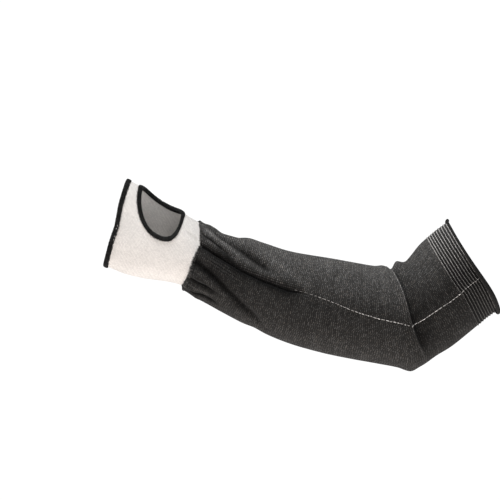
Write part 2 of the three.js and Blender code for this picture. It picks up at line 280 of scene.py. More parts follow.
# Gathers at the wrist on the near side, each along the picture points of its valley. Sizes are
# millimetres: the valley's depth and its widths above and below, the ridge over it, and how far
# the ridge leans over the valley. The painted shade is how much darker the yarn is painted in the
# valley, and how far it reaches above and below.
near_gathers = {
    "main fold": dict(
        depth=5.6, above=2.8, below=2.4, ridge=1.6, ridge_at=8, ridge_width=4.5,
        over=2.6, fade_in=6, fade_out=30, dark=1.0, dark_above=5.2, dark_below=6.2,
        valley=[(196, 242), (201, 245), (221, 257), (241, 269.5), (262, 279.5), (288, 289), (312, 295)],
    ),
    "under the main fold": dict(
        depth=4.4, above=5.0, below=4.4, ridge=1.0, ridge_at=10, ridge_width=4,
        over=0.4, fade_in=4, fade_out=26, dark=0.6, dark_above=5.4, dark_below=5.0,
        valley=[(192, 259), (211, 273.5), (226, 289.5), (241, 305), (262, 325), (270, 333)],
    ),
    "lower palm side": dict(
        depth=2.8, above=2.4, below=2.2, ridge=0.7, ridge_at=5, ridge_width=3,
        over=0.8, fade_in=3, fade_out=24, dark=0.62, dark_above=2.4, dark_below=2.6,
        valley=[(187, 275), (206, 286), (223, 298)],
    ),
    "bottom edge": dict(
        depth=2.2, above=2.2, below=2.0, ridge=0.4, ridge_at=4, ridge_width=3,
        over=0.5, fade_in=2, fade_out=12, dark=0.75, dark_above=1.8, dark_below=2.0,
        valley=[(184, 286.3), (193, 290), (201, 293.5), (211, 299.5), (220, 305)],
    ),
    "under the upper ridge": dict(
        depth=2.8, above=2.4, below=2.2, ridge=0.9, ridge_at=5, ridge_width=3,
        over=0.8, fade_in=3, fade_out=24, dark=0.75, dark_above=2.4, dark_below=2.6,
        valley=[(199, 233), (207, 239), (216, 245), (230, 255.5), (243, 263)],
    ),
    "upper hollow": dict(
        depth=4.4, above=4.2, below=4.6, ridge=1.6, ridge_at=11, ridge_width=6,
        over=1.2, fade_in=9, fade_out=26, dark=0.62, dark_above=5.6, dark_below=5.4,
        valley=[(206, 226.5), (218, 233.5), (232, 242.5), (248, 254), (262, 265), (280, 277)],
    ),
    "small crease by the lip": dict(
        depth=1.4, above=1.6, below=1.4, ridge=0.5, ridge_at=4, ridge_width=2,
        over=0.4, fade_in=2, fade_out=14, dark=0.3, dark_above=1.4, dark_below=1.4,
        valley=[(200, 226), (208, 233), (219, 241)],
    ),
}
# Painted highlights on lit ridges between the valleys: their line, how much paler the yarn is painted
# there, the half width and the length over which they fade out. A minus paints a line of shade instead.
lit_ridges = [
    (trace([(203, 228), (212, 236), (222, 244), (240, 257), (262, 271), (290, 284)]), 0.6, 2.6, 30),
    (trace([(202, 227), (207, 231.5), (215, 239)]), 0.9, 1.9, 6),
    (trace([(199, 223), (210, 225.5), (222, 232), (235, 238.5)]), -0.35, 2.6, 12),
    (trace([(205, 240), (222, 250.5), (238, 260.5), (252, 268)]), 0.35, 1.6, 14),
    (trace([(270, 258), (285, 269), (300, 280), (314, 287)]), 0.36, 3.5, 14),
    (trace([(312, 299), (324, 287), (336, 275), (352, 264)]), -0.2, 6.0, 14),
    (trace([(187, 282.5), (200, 289), (213, 296), (225, 302)]), 0.5, 1.3, 10),
    (trace([(203, 246.5), (216, 254), (232, 264)]), 0.3, 1.0, 12),
    (trace([(192, 268), (206, 279), (222, 293), (238, 309)]), 0.35, 2.6, 18),
]
# Gathers on the far side: angle round at the seam and at the end, length, width and depth.
far_gathers = [
    (-30, -44, 52, 3.6, 2.6),
    (-56, -70, 34, 2.6, 1.6),
    (-74, -92, 92, 4.4, 4.4),
    (-106, -122, 62, 4.0, 3.2),
    (-138, -152, 46, 3.6, 2.6),
    (-162, -166, 30, 2.8, 1.6),
    (172, 168, 36, 3.0, 1.6),
]
for g in near_gathers.values():
    g["path"] = trace(g["valley"])


def gather_shape(along, angle):
    """Lift of the gathered cloth, its shift down over the valleys, and its painted shade: darker in the
    valleys and paler on the lit ridges.
    """
    past = along - wrist_place
    lift = gather_height * fade(past, 8, 70)
    shift, hollow = 0.0, 0.0
    for g in near_gathers.values():
        path = g["path"]
        middle = np.interp(along, path[:, 0], path[:, 1])
        d = between(angle, middle) / angle_per_arc(along, middle)
        start, end = path[0, 0] - 4, path[-1, 0]
        strength = (1 - fade(along, start, start + g["fade_in"])) * fade(along, end - g["fade_out"], end)
        valley = bell(d, np.where(d < 0, g["above"], g["below"]))
        lift = lift - g["depth"] * strength * valley
        lift = lift + g["ridge"] * strength * bell(d + g["ridge_at"], g["ridge_width"])
        shift = shift + g["over"] * strength * bell(d + 0.9 * g["above"], 0.9 * g["above"])
        # Painted shade in the valley, wider towards its end.
        wider = 0.62 + 0.7 * np.clip((along - start) / (end - start), 0, 1)
        shaded = bell(d / wider, np.where(d < 0, g["dark_above"], g["dark_below"]))
        hollow = hollow + g["dark"] * strength * shaded
    for at_seam, at_end, length, width, depth in far_gathers:
        middle = np.radians(at_seam + (at_end - at_seam) * np.clip(past / length, 0, 1))
        d = between(angle, middle) / angle_per_arc(along, middle)
        strength = fade(past, 0.35 * length, length)
        lift = lift - depth * strength * bell(d, width)
        lift = lift + 0.3 * depth * strength * bell(d + 2 * width, width)
        # Painted shade in the far valleys.
        hollow = hollow + 0.09 * depth * strength * bell(d, width)
    # Painted highlights on the lit ridges, and fine drag lines under the main fold painted in light and
    # dark.
    for line, strength, width, fade_out in lit_ridges:
        d = between(angle, np.interp(along, line[:, 0], line[:, 1])) / angle_per_arc(along, angle)
        first, last = line[0, 0], line[-1, 0]
        shown = (1 - fade(along, first, first + 5)) * fade(along, last - fade_out, last)
        hollow = hollow - strength * shown * bell(d, width)
    path = near_gathers["main fold"]["path"]
    d = between(angle, np.interp(along, path[:, 0], path[:, 1])) / angle_per_arc(along, angle)
    dragged = bell(d - 9.5, 5) * (1 - fade(past, 8, 26)) * fade(past, 44, 68)
    hollow = hollow + 0.34 * dragged * np.sin(2 * np.pi * d / 2.9)
    # Small pleats crowded at the seam.
    crowd = 0.45 * np.sin(angle * 31 + 2.2 * np.sin(angle * 3)) * fade(past, 2, 28)
    return lift + crowd, shift * angle_per_arc(along, angle), hollow


# The lap at the inside of the elbow: the forearm's side lies over the upper arm's.
lap_edge = by_angle(trace([
    (391, 270), (394.5, 276), (399.6, 285.2), (402.7, 292.3), (404.5, 298.5), (406.7, 305.1),
    (408.8, 313.8), (411.8, 325.6), (414.6, 334.8), (418, 343), (422.2, 351.5), (426, 360),
]))
# Columns: distance along before the lap, where the cloth there ends up, and its lift.
lap_rows = np.array([
    (-11.0, -11.0, 0.0),
    (-6.0, -5.4, 0.7),
    (-2.5, -1.2, 1.5),
    (0.0, 0.9, 1.1),
    (1.0, 0.7, -0.6),
    (2.0, 1.2, -2.6),
    (4.0, 3.2, -3.6),
    (8.0, 7.6, -2.0),
    (15.0, 15.0, 0.0),
])
# Folds across the inside of the elbow. Columns: place, drift a quarter turn round, the angle at
# which it has faded out, width and height.
elbow_folds = [
    (-16.0, 9, 120, 8.0, 1.6),
    (-8.1, 20, 70, 3.0, 1.1),
    (6.2, 14, 80, 8.2, 7.2),
    (25.5, 14, 65, 18.0, -2.3),
]


def lap_place(angle):
    turn = np.abs(between(angle, 0))
    return np.interp(turn, lap_edge[:, 1], lap_edge[:, 0])


def elbow_shape(along, angle):
    """Lift of the folds at the elbow, how far the cloth is pushed along, and its painted shade: a painted
    shadow beside the lap and a painted highlight along the lap's edge.
    """
    turn = np.degrees(np.abs(between(angle, 0)))
    lift = 0.0
    for place, drift, reach, width, height in elbow_folds:
        middle = elbow_place + place + drift * (turn / 90) ** 1.5
        lift = lift + height * bell(along - middle, width) * fade(turn, 0, reach)
    u = along - lap_place(angle)
    strength = fade(turn, 100, 150) * (1 - fade(turn, 4, 30))
    deeper = 1 + 0.2 * bell(turn - 112, 22)
    push = strength * (np.interp(u, lap_rows[:, 0], lap_rows[:, 1]) - np.clip(u, -11, 15))
    rise = np.interp(u, lap_rows[:, 0], lap_rows[:, 2])
    lift = lift + strength * np.where(rise < 0, rise * deeper, rise)
    # Painted shadow beside the lap on the upper arm's side, broader low down, and a painted highlight along
    # the lap's edge.
    below = bell(turn - 122, 20)
    shadow = 0.4 * bell(u - 2.6, 2.4 + below) * (1 - 0.35 * below)
    shadow = shadow + (0.22 + 0.12 * below) * bell(u - 9, 12) * (u > 0)
    drawn = fade(turn, 115, 168) * (1 - fade(turn, 4, 30))
    hollow = drawn * (shadow - 2.0 * (1 - 0.5 * below) * bell(u + 0.3, 0.7))
    # Soft drag lines that fan out from the crease.
    fan = np.radians(28 + 0.62 * np.clip(along - elbow_place, 0, 60))
    lift = lift - 0.9 * bell(between(angle, fan), 0.12) * bell(along - elbow_place - 34, 16)
    before = np.radians(38 - 0.3 * np.clip(elbow_place - along, 0, 60))
    lift = lift - 0.6 * bell(between(angle, before), 0.16) * bell(along - elbow_place + 32, 15)
    return lift, push, hollow


# The tube's edge at the wrist on the near side, from picture points.
wrist_edge = by_angle(trace([
    (198.3, 221.9), (200.4, 224.5), (201.0, 235), (200.8, 244.5), (197, 252), (193.5, 259.2),
    (188.9, 275.5), (181.9, 287.8),
], 1.5))


def seam_edge(angle):
    lip = seam_lip * fade(np.abs(between(angle, 0)), 0, math.radians(seam_lip_angle))
    edge = wrist_place + seam_dip * np.sin(angle) ** 2 - lip
    drawn = np.interp(between(angle, 0), wrist_edge[:, 1], wrist_edge[:, 0])
    on_near = (1 - fade(between(angle, 0), 0.12, 0.4)) * fade(between(angle, 0), 2.5, 2.9)
    return edge + np.clip(drawn - edge, -2.2, 2.2) * on_near


def band_edge(angle):
    bow = band_bow * bell(between(angle, math.radians(band_bow_angle)), math.radians(band_bow_width))
    return band_end - band_taper / 2 * np.cos(angle) + bow


# How far the top of the gathered cloth sinks behind the seam: place past the wrist, millimetres.
top_sink = np.array([(0, -2.4), (6, -2.0), (14, -2.3), (22, -2.0), (30, -1.4), (40, -0.8), (52, 0)])


def wander(along, angle):
    """Slow unevenness of cloth on an arm."""
    return (
        0.28 * np.sin(along * 0.055 + 2 * np.sin(angle * 2 + 0.4))
        + 0.2 * np.sin(angle * 5 + along * 0.031 + 1.1)
        + 0.16 * np.sin(angle * 3 - along * 0.083 + 2.0)
    )


# The wander of the band's first stripe, where the tube ends.
first_stripe = by_angle(trace([
    (427.3, 238.3), (438.4, 257.4), (446.8, 271.2), (453.7, 282.7), (459, 290.3), (462.8, 294.2),
    (469, 305.6), (477.4, 323.2),
]))


def band_wave(angle):
    turn = np.abs(between(angle, 0))
    return np.clip(np.interp(turn, first_stripe[:, 1], first_stripe[:, 0] - band_place - 0.3), -3.0, 2.8)


def painted_light_top_and_under(angle):
    """Painted light: the yarn is painted a little paler on top of the arm and under it than on its sides."""
    up = np.cos(angle)
    return 0.67 + np.where(up > 0, 1.8, 0.31) * np.abs(up) ** 1.1


# Where the underside lies closer to the arm: place, depth and half width.
under_sinks = [(locate([(434, 352)])[0, 0], 1.6, 11), (locate([(256, 322)])[0, 0], 1.2, 9)]


def tube_skin(along, angle):
    """Outer skin of the tube: place along, angle round, lift, and the yarn's tone, which carries painted
    shade and painted light.
    """
    over_cuff = (cuff_wall + clearance) * fade(along, cuff_end + 1, cuff_end + 12)
    elbow_lift, push, elbow_hollow = elbow_shape(along, angle)
    gather_lift, shift, hollow = gather_shape(along, angle)
    sink = np.interp(along - wrist_place, top_sink[:, 0], top_sink[:, 1])
    sink = sink * fade(np.abs(between(angle, 0)), 0.35, 0.9)
    lift = tube_wall + over_cuff + gather_lift + elbow_lift + sink
    free = 1 - fade(along, wrist_place + 12, wrist_place + 40)
    free = free * fade(along, band_place - 25, band_place - 6)
    lift = lift + wander(along, angle) * free
    # Over the hidden part of the cuff the tube never sinks into it.
    least = cuff_wall + clearance + 0.9
    near_cuff = fade(along, cuff_end + 1, cuff_end + 8)
    lift = np.where(near_cuff > 0, np.maximum(lift, least * near_cuff - 6 * (1 - near_cuff)), lift)
    bow = band_wave(angle) * (1 - fade(along, band_place - 14, band_place))
    turn = np.degrees(np.abs(between(angle, 0)))
    for place, depth, width in under_sinks:
        lift = lift - depth * bell(along - place, width) * (1 - fade(turn, 110, 160))
    # Painted shade on the sides and underside of the forearm near the wrist, and over the upper arm beyond
    # the elbow, more so under it.
    near_wrist = fade(along, wrist_place + 20, wrist_place + 90) * (1 - fade(turn, 25, 70))
    hollow = hollow + elbow_hollow + 0.25 * near_wrist
    beyond = 1 - fade(along, elbow_place - 4, elbow_place + 24)
    hollow = hollow + beyond * (0.16 + 0.09 * (1 - fade(turn, 85, 125)))
    # The tone is the painted shade and highlights, times the painted light on top and under the arm.
    return along + push + bow, angle + shift, lift, (1 - np.clip(hollow, -2.4, 0.85)) * painted_light_top_and_under(angle)


def on_tube(along, angle):
    """Lift of the point of the tube's skin that ends up at a place along and an angle round."""
    from_along, from_angle = np.array(along, float), np.array(angle, float)
    for _ in range(12):
        place, turned, lift, _ = tube_skin(from_along, from_angle)
        from_along = from_along + 0.7 * (along - place)
        from_angle = from_angle + 0.7 * (angle - turned)
    return lift


# Meshes.
def new_object(name, points, corners, sizes, corner_uv, material, tone=None):
    mesh = bpy.data.meshes.new(name)
    points = np.asarray(points, float).reshape(-1, 3) * 0.001
    sizes = np.asarray(sizes, np.int32)
    starts = np.concatenate([[0], np.cumsum(sizes)[:-1]]).astype(np.int32)
    mesh.vertices.add(len(points))
    mesh.vertices.foreach_set("co", points.ravel())
    mesh.loops.add(len(corners))
    mesh.loops.foreach_set("vertex_index", np.asarray(corners, np.int32))
    mesh.polygons.add(len(sizes))
    mesh.polygons.foreach_set("loop_start", starts)
    mesh.polygons.foreach_set("loop_total", sizes)
    mesh.polygons.foreach_set("use_smooth", np.ones(len(sizes), bool))
    mesh.update(calc_edges=True)
    if corner_uv is not None:
        layer = mesh.uv_layers.new(name="yarn")
        layer.data.foreach_set("uv", np.asarray(corner_uv, np.float32).ravel())
    if tone is not None:
        attribute = mesh.attributes.new("tone", "FLOAT", "POINT")
        attribute.data.foreach_set("value", np.asarray(tone, np.float32).ravel())
    mesh.validate()
    mesh.materials.append(material)
    obj = bpy.data.objects.new(name, mesh)
    bpy.context.scene.collection.objects.link(obj)
    return obj


def loft(rings, u_end, v, keep=None, turns=None):
    """Faces of rings of points, K rings of N points, joined round and last to first.
    The corner coordinates run 0 to u_end round the ring and follow v from ring to ring."""
    K, N = rings.shape[:2]
    kk, jj = np.meshgrid(np.arange(K), np.arange(N), indexing="ij")
    nk, nj = (kk + 1) % K, (jj + 1) % N
    quads = np.stack([kk * N + jj, kk * N + nj, nk * N + nj, nk * N + jj], axis=-1)
    v = np.asarray(v, float)
    if v.ndim == 1:
        v = np.repeat(v[:, None], N, axis=1)
    shares = np.arange(N + 1) / N if turns is None else np.append(turns, 2 * np.pi) / (2 * np.pi)
    u0, u1 = shares[jj] * u_end, shares[jj + 1] * u_end
    uv = np.stack([
        np.stack([u0, v[kk, jj]], -1),
        np.stack([u1, v[kk, nj]], -1),
        np.stack([u1, v[nk, nj]], -1),
        np.stack([u0, v[nk, jj]], -1),
    ], axis=2)
    quads, uv = quads.reshape(-1, 4), uv.reshape(-1, 4, 2)
    if keep is not None:
        mask = keep.reshape(-1)
        quads, uv = quads[mask], uv[mask]
    return rings.reshape(-1, 3), quads.ravel(), np.full(len(quads), 4), uv.reshape(-1, 2)


def strands(paths, radius, sides, tone):
    """Closed round strands along paths, n strands of m points, thinned to a blunt tip at each end."""
    n, m = paths.shape[:2]
    tangent = np.gradient(paths, axis=1)
    tangent /= np.linalg.norm(tangent, axis=-1, keepdims=True) + 1e-9
    side = np.cross(tangent, (0.31, -0.83, 0.47))
    side /= np.linalg.norm(side, axis=-1, keepdims=True) + 1e-9
    up = np.cross(side, tangent)
    radius = np.broadcast_to(np.asarray(radius, float), (n, m))
    turn = (np.arange(sides) / sides * 2 * np.pi)[:, None]
    spoke = np.cos(turn) * up[:, :, None] + np.sin(turn) * side[:, :, None]
    points = (paths[:, :, None] + radius[:, :, None, None] * spoke).reshape(-1, 3)
    base = (np.arange(n) * m * sides)[:, None, None]
    i, j = np.meshgrid(np.arange(m - 1), np.arange(sides), indexing="ij")
    a = i * sides + j
    b = i * sides + (j + 1) % sides
    quad = np.stack([a, b, b + sides, a + sides], -1).reshape(1, -1, 4) + base
    quad = quad.reshape(-1)
    first = np.arange(sides)[::-1][None] + base[:, :, 0]
    last = np.arange(sides)[None] + (m - 1) * sides + base[:, :, 0]
    corners = np.concatenate([quad, first.ravel(), last.ravel()])
    sizes = np.concatenate([np.full(len(quad) // 4, 4), np.full(2 * n, sides)])
    return points, corners, sizes, np.repeat(np.asarray(tone, float), m * sides)


def join_parts(parts):
    points, corners, sizes, tones, count = [], [], [], [], 0
    for p, c, s, t in parts:
        points.append(p)
        corners.append(c + count)
        sizes.append(s)
        tones.append(t)
        count += len(p)
    return np.concatenate(points), np.concatenate(corners), np.concatenate(sizes), np.concatenate(tones)


# Materials.
class Graph:
    """A short way to write the shader nodes of a material or of the world."""

    def __init__(self, owner):
        self.owner = owner
        owner.use_nodes = True
        self.tree = owner.node_tree
        self.tree.nodes.clear()
        self.links = self.tree.links

    def node(self, kind, **settings):
        node = self.tree.nodes.new(kind)
        for key, value in settings.items():
            setattr(node, key, value)
        return node

    def put(self, socket, value):
        if isinstance(value, bpy.types.NodeSocket):
            self.links.new(value, socket)
        elif value is not None:
            socket.default_value = value

    def math(self, operation, a, b=None):
        node = self.node("ShaderNodeMath", operation=operation)
        for socket, value in zip(node.inputs, (a, b)):
            self.put(socket, value)
        return node.outputs[0]

    def plus(self, a, b):
        return self.math("ADD", a, b)

    def minus(self, a, b):
        return self.math("SUBTRACT", a, b)

    def times(self, a, b):
        return self.math("MULTIPLY", a, b)

    def off_middle(self, value, weight):
        """How far a value lies from one half, times a weight."""
        return self.times(self.minus(value, 0.5), weight)

    def hump(self, value, power):
        """Nothing at 0 and at 1, full half way between."""
        return self.math("POWER", self.math("SINE", self.times(value, math.pi)), power)

    def smooth(self, value, low, high, out_low=0.0, out_high=1.0):
        node = self.node("ShaderNodeMapRange", interpolation_type="SMOOTHSTEP")
        for socket, entry in zip(node.inputs, (value, low, high, out_low, out_high)):
            self.put(socket, entry)
        return node.outputs[0]

    def white(self, x, y, z=0.0):
        joined = self.node("ShaderNodeCombineXYZ")
        for socket, value in zip(joined.inputs, (x, y, z)):
            self.put(socket, value)
        noise = self.node("ShaderNodeTexWhiteNoise", noise_dimensions="3D")
        self.links.new(joined.outputs[0], noise.inputs["Vector"])
        return noise.outputs["Value"]

    def noise(self, scale, roughness):
        place = self.node("ShaderNodeTexCoord")
        node = self.node("ShaderNodeTexNoise")
        self.put(node.inputs["Vector"], place.outputs["Object"])
        self.put(node.inputs["Scale"], scale)
        self.put(node.inputs["Detail"], 2.0)
        self.put(node.inputs["Roughness"], roughness)
        return node.outputs["Fac"]

    def mix(self, factor, a, b):
        node = self.node("ShaderNodeMix", data_type="RGBA")
        self.put(node.inputs[0], factor)
        self.put(node.inputs[6], a)
        self.put(node.inputs[7], b)
        return node.outputs[2]

    def scale_colour(self, colour, factor):
        node = self.node("ShaderNodeMix", data_type="RGBA", blend_type="MULTIPLY")
        joined = self.node("ShaderNodeCombineColor")
        for socket in joined.inputs:
            self.put(socket, factor)
        node.inputs[0].default_value = 1.0
        self.put(node.inputs[6], colour)
        self.links.new(joined.outputs[0], node.inputs[7])
        return node.outputs[2]

    def finish(self, colour, roughness, height, bump, distance=0.0003, sheen=0.0, specular=0.2):
        shader = self.node("ShaderNodeBsdfPrincipled")
        self.put(shader.inputs["Base Color"], colour)
        self.put(shader.inputs["Roughness"], roughness)
        shader.inputs["Specular IOR Level"].default_value = specular
        shader.inputs["Sheen Weight"].default_value = sheen
        shader.inputs["Sheen Roughness"].default_value = 0.5
        shader.inputs["Sheen Tint"].default_value = (1, 1, 1, 1)
        if height is not None:
            node = self.node("ShaderNodeBump")
            node.inputs["Strength"].default_value = bump
            node.inputs["Distance"].default_value = distance
            self.links.new(height, node.inputs["Height"])
            self.links.new(node.outputs[0], shader.inputs["Normal"])
        output = self.node("ShaderNodeOutputMaterial")
        self.links.new(shader.outputs[0], output.inputs["Surface"])
        return self.owner


def grey(value, warm=0.0):
    """A colour from an sRGB grey level, a little warmer or cooler."""
    def linear(c):
        c = max(0.0, min(1.0, c))
        return c / 12.92 if c <= 0.04045 else ((c + 0.055) / 1.055) ** 2.4
    return (linear(value + warm), linear(value), linear(value - warm), 1.0)


def knit_cells(g):
    """Stitches of plain knit in the yarn coordinates: one wale each unit of u, one course each unit of v."""
    uv = g.node("ShaderNodeUVMap", uv_map="yarn")
    split = g.node("ShaderNodeSeparateXYZ")
    g.links.new(uv.outputs[0], split.inputs[0])
    u, v = split.outputs[0], split.outputs[1]
    across = g.times(g.math("ABSOLUTE", g.minus(g.math("FRACT", u), 0.5)), 2.0)
    slanted = g.minus(v, g.times(across, 0.62))
    row = g.math("FLOOR", slanted)
    up = g.math("FRACT", slanted)
    height = g.times(g.hump(across, 0.6), g.hump(up, 0.55))
    half = g.math("FLOOR", g.times(u, 2.0))
    return u, v, half, row, height


def heather_material(name, dark, light, warmer, amount):
    """Charcoal yarn with pale fibre flecks, which show as rows of paler and some warmer dots."""
    g = Graph(bpy.data.materials.new(name))
    u, v, half, row, height = knit_cells(g)
    hollow = g.node("ShaderNodeAttribute", attribute_name="tone")
    column = g.math("FLOOR", u)
    jog = g.times(g.white(column, 2.0, 7.0), 0.6)
    pair = g.plus(g.times(v, 0.64), jog)
    pair_row = g.math("FLOOR", pair)
    dot = g.times(g.hump(g.math("FRACT", u), 1.6), g.hump(g.math("FRACT", pair), 1.5))
    fleck = g.white(column, pair_row, 1.0)
    streak = g.white(g.math("FLOOR", g.math("DIVIDE", half, 5.0)), row, 3.0)
    course = g.white(pair_row, 8.0, 6.0)
    cloud = g.noise(60.0, 0.5)
    fine = g.noise(2600.0, 0.7)
    flecked = g.times(g.math("POWER", fleck, 1.5), 0.52)
    mixed = g.times(dot, g.plus(0.3, flecked))
    for part, weight in ((cloud, 0.12), (streak, 0.14), (course, 0.08), (fine, 0.5)):
        mixed = g.plus(mixed, g.off_middle(part, weight))
    factor = g.smooth(mixed, 0.0, 1.0, 0.0, amount)
    warm = g.smooth(g.white(column, pair_row, 11.0), 0.55, 0.9)
    colour = g.mix(factor, dark, g.mix(warm, light, warmer))
    shade = g.plus(0.74, g.times(height, 0.3))
    # The tone attribute multiplies in the painted shade of the folds and the painted light on top of and
    # under the arm.
    shade = g.times(shade, hollow.outputs["Fac"])
    colour = g.scale_colour(colour, shade)
    relief = g.plus(height, g.times(fine, 0.25))
    return g.finish(colour, 0.95, relief, 0.35, sheen=0.05, specular=0.03)


def white_material(name):
    """Fine white plain knit."""
    g = Graph(bpy.data.materials.new(name))
    _, _, half, row, height = knit_cells(g)
    fine = g.noise(2400.0, 0.7)
    cloud = g.noise(45.0, 0.5)
    each = g.white(half, row, 1.0)
    colour = g.mix(g.smooth(cloud, 0.3, 0.7), grey(0.895, 0.013), grey(0.915, 0.014))
    shade = g.plus(0.56, g.times(height, 0.53))
    shade = g.plus(shade, g.off_middle(each, 0.14))
    colour = g.scale_colour(colour, shade)
    relief = g.plus(height, g.times(fine, 0.3))
    return g.finish(colour, 0.9, relief, 0.55, sheen=0.1, specular=0.15)


def thread_material(name, dark, light, spread=1.0, sheen=0.1):
    """Twisted thread; its tone runs from dark to light."""
    g = Graph(bpy.data.materials.new(name))
    tone = g.node("ShaderNodeAttribute", attribute_name="tone")
    fibre = g.noise(3200.0, 0.75)
    factor = g.plus(tone.outputs["Fac"], g.off_middle(fibre, 0.6 * spread))
    colour = g.mix(g.smooth(factor, 0.0, 1.0), dark, light)
    return g.finish(colour, 0.85, fibre, 0.5, 0.0002, sheen=sheen, specular=0.15)


knit_dark = heather_material(
    "heather_yarn", grey(0.15, 0.002), grey(0.5, 0.003), grey(0.5, 0.018), 0.8
)
band_dark = heather_material(
    "band_yarn", grey(0.12, 0.001), grey(0.34, 0.004), grey(0.34, 0.02), 0.4
)
knit_white = white_material("white_yarn")
overlock_black = thread_material("overlock_yarn", grey(0.045), grey(0.16), 0.8, 0.05)
teeth_dark = thread_material("seam_yarn", grey(0.08), grey(0.36, 0.006), 1.0)
crease_pale = thread_material("crease_yarn", grey(0.5, 0.01), grey(0.9, 0.012), 0.8)
stripe_pale = thread_material("stripe_yarn", grey(0.2, 0.003), grey(0.84, 0.01), 0.5)

wales = 210
course_pitch = 1.3

# The tube.
near_columns, far_columns = 184, 92
turns = np.concatenate([
    np.arange(near_columns) / near_columns * np.pi,
    np.pi + np.arange(far_columns) / far_columns * np.pi,
])


def tube_rows():
    """Rows of the tube, closer at the elbow's lap and at the wrist's gathers."""
    elbow_step, seam_step, plain_step = 0.7, 1.1, 1.9
    steps = []
    place = 0.0
    total = band_place - clearance - wrist_place
    while place < total:
        at = wrist_place + place
        near_elbow = abs(at - elbow_place - 6) < 34
        near_seam = at < wrist_place + 60
        steps.append(place)
        place += elbow_step if near_elbow else seam_step if near_seam else plain_step
    steps.append(total)
    return np.array(steps)


rows = tube_rows()
a_grid, s_grid = np.meshgrid(turns, rows, indexing="xy")
seam_shift = (seam_edge(a_grid) - wrist_place) * fade(s_grid, 0, 62)
along_grid = wrist_place + s_grid + seam_shift
place_grid, turn_grid, lift_grid, tone_grid = tube_skin(along_grid, a_grid)
outer = surface(place_grid, turn_grid, lift_grid)

# The inside stays under the lowest of the outside nearby.
low = lift_grid.copy()
for shift in (-5, -3, -1, 1, 3, 5):
    low = np.minimum(low, np.roll(lift_grid, shift, axis=1))
for _ in range(2):
    padded = np.pad(low, ((2, 2), (0, 0)), mode="edge")
    low = np.minimum.reduce([padded[k:k + len(rows)] for k in range(5)])
inner_lift = low - 0.9
near_cuff = fade(along_grid, cuff_end + 1, cuff_end + 8)
over_cuff = (cuff_wall + 0.3) * near_cuff - 6 * (1 - near_cuff)
inner_lift = np.where(near_cuff > 0.02, np.maximum(inner_lift, over_cuff), inner_lift)
inner_lift = np.minimum(inner_lift, lift_grid - 0.55)
inner_rows = np.unique(np.concatenate([np.arange(0, len(rows), 3), [len(rows) - 1]]))
inner = surface(along_grid, a_grid, inner_lift)[inner_rows]
rings = np.concatenate([outer, inner[::-1]])
v_outer = along_grid / course_pitch
v_all = np.concatenate([v_outer, v_outer[inner_rows][::-1]])
tones = np.concatenate([tone_grid, np.ones_like(tone_grid)[inner_rows]])
p, c, s, uv = loft(rings, wales, v_all, turns=turns)
tube = new_object("sleeve_tube", p, c, s, uv, knit_dark, tones)

# The cuff, with the hole left out of its faces. Its palm edge wanders a little.
palm_edge = by_angle(locate([
    (128.4, 180.5), (121.7, 200.6), (120.4, 205.7), (116.6, 226.1), (110.8, 243.3), (105.1, 265.7),
]))


def edge_wave(angle):
    middle = cuff_edge + (binding_width - 2 * (binding_nose + clearance)) / 2
    wave = np.interp(np.abs(between(angle, 0)), palm_edge[:, 1], palm_edge[:, 0] - middle)
    return np.clip(wave, -1.2, 1.2)


cuff_wales = 112
cuff_course = 1.5
cuff_crease = locate([(184, 228), (190, 234), (197, 240), (204, 246)])
cuff_columns = 260
cuff_turns = np.arange(cuff_columns) / cuff_columns * 2 * np.pi
cuff_rows = np.linspace(cuff_edge, cuff_end, 96)
ca, cs = np.meshgrid(cuff_turns, cuff_rows, indexing="xy")


def cuff_lift(along, angle):
    wave = 0.25 * np.sin(angle * 4 + along * 0.06) * (1 - fade(along, 6, 26)) * fade(along, 74, 88)
    ease = (1 - fade(along, 6, 20)) * fade(along, 76, 90)
    middle = np.interp(along, cuff_crease[:, 0], cuff_crease[:, 1])
    d = between(angle, middle) / angle_per_arc(along, middle)
    start = cuff_crease[0, 0]
    crease = -1.5 * bell(d, 1.5) * (1 - fade(along, start - 2, start + 10)) * fade(along, 86, 96)
    return cuff_wall + wave * ease + crease


def thumb_point(turn, inset, lift):
    """Point a distance inside the thumb hole's edge, at a turn round the hole."""
    turn, inset, lift = (np.asarray(value, float) for value in (turn, inset, lift))
    turn, inset, lift = np.broadcast_arrays(turn, inset, lift)
    half_length = thumb_length / 2
    half_span = math.radians(thumb_span / 2)
    c, s = (np.sign(k) * np.abs(k) ** (2 / thumb_fullness) for k in (np.cos(turn), np.sin(turn)))
    along = thumb_centre + half_length * c + thumb_slant * (0.5 + 0.5 * s) ** 4
    angle = math.radians(thumb_angle) + half_span * s
    scale = angle_per_arc(along, angle)
    half_arc = half_span / scale
    length = np.hypot(c / half_length, s / half_arc)
    along = along - inset * c / (half_length * length)
    angle = angle - inset * s / (half_arc * length) * scale
    return surface(along, angle, lift)


def in_thumb_hole(along, angle):
    half_span = math.radians(thumb_span / 2)
    s = between(angle, math.radians(thumb_angle)) / half_span
    middle = thumb_centre + thumb_slant * (0.5 + 0.5 * np.clip(s, -1, 1)) ** 4
    c = (along - middle) / (thumb_length / 2)
    return np.abs(s) ** thumb_fullness + np.abs(c) ** thumb_fullness < 1.0


cuff_top = cuff_lift(cs, ca)
c_place = cs + edge_wave(ca) * fade(cs, cuff_edge, cuff_edge + 16)
cuff_outer = surface(c_place, ca, cuff_top)
cuff_inner = surface(c_place, ca, cuff_top - cuff_wall)[::-1]
cuff_rings = np.concatenate([cuff_outer, cuff_inner])
mid_along = cs + (cuff_rows[1] - cuff_rows[0]) / 2
mid_angle = ca + np.pi / cuff_columns
hole = in_thumb_hole(mid_along, mid_angle)
keep_outer = ~hole
keep_outer[-1] = True
keep_inner = np.ones_like(hole)
keep_inner[:-1] = ~hole[::-1][1:]
keep = np.concatenate([keep_outer, keep_inner])
cv = np.concatenate([cs, cs[::-1]]) / cuff_course
p, c, s, uv = loft(cuff_rings, cuff_wales, cv, keep)
cuff = new_object("cuff", p, c, s, uv, knit_white)


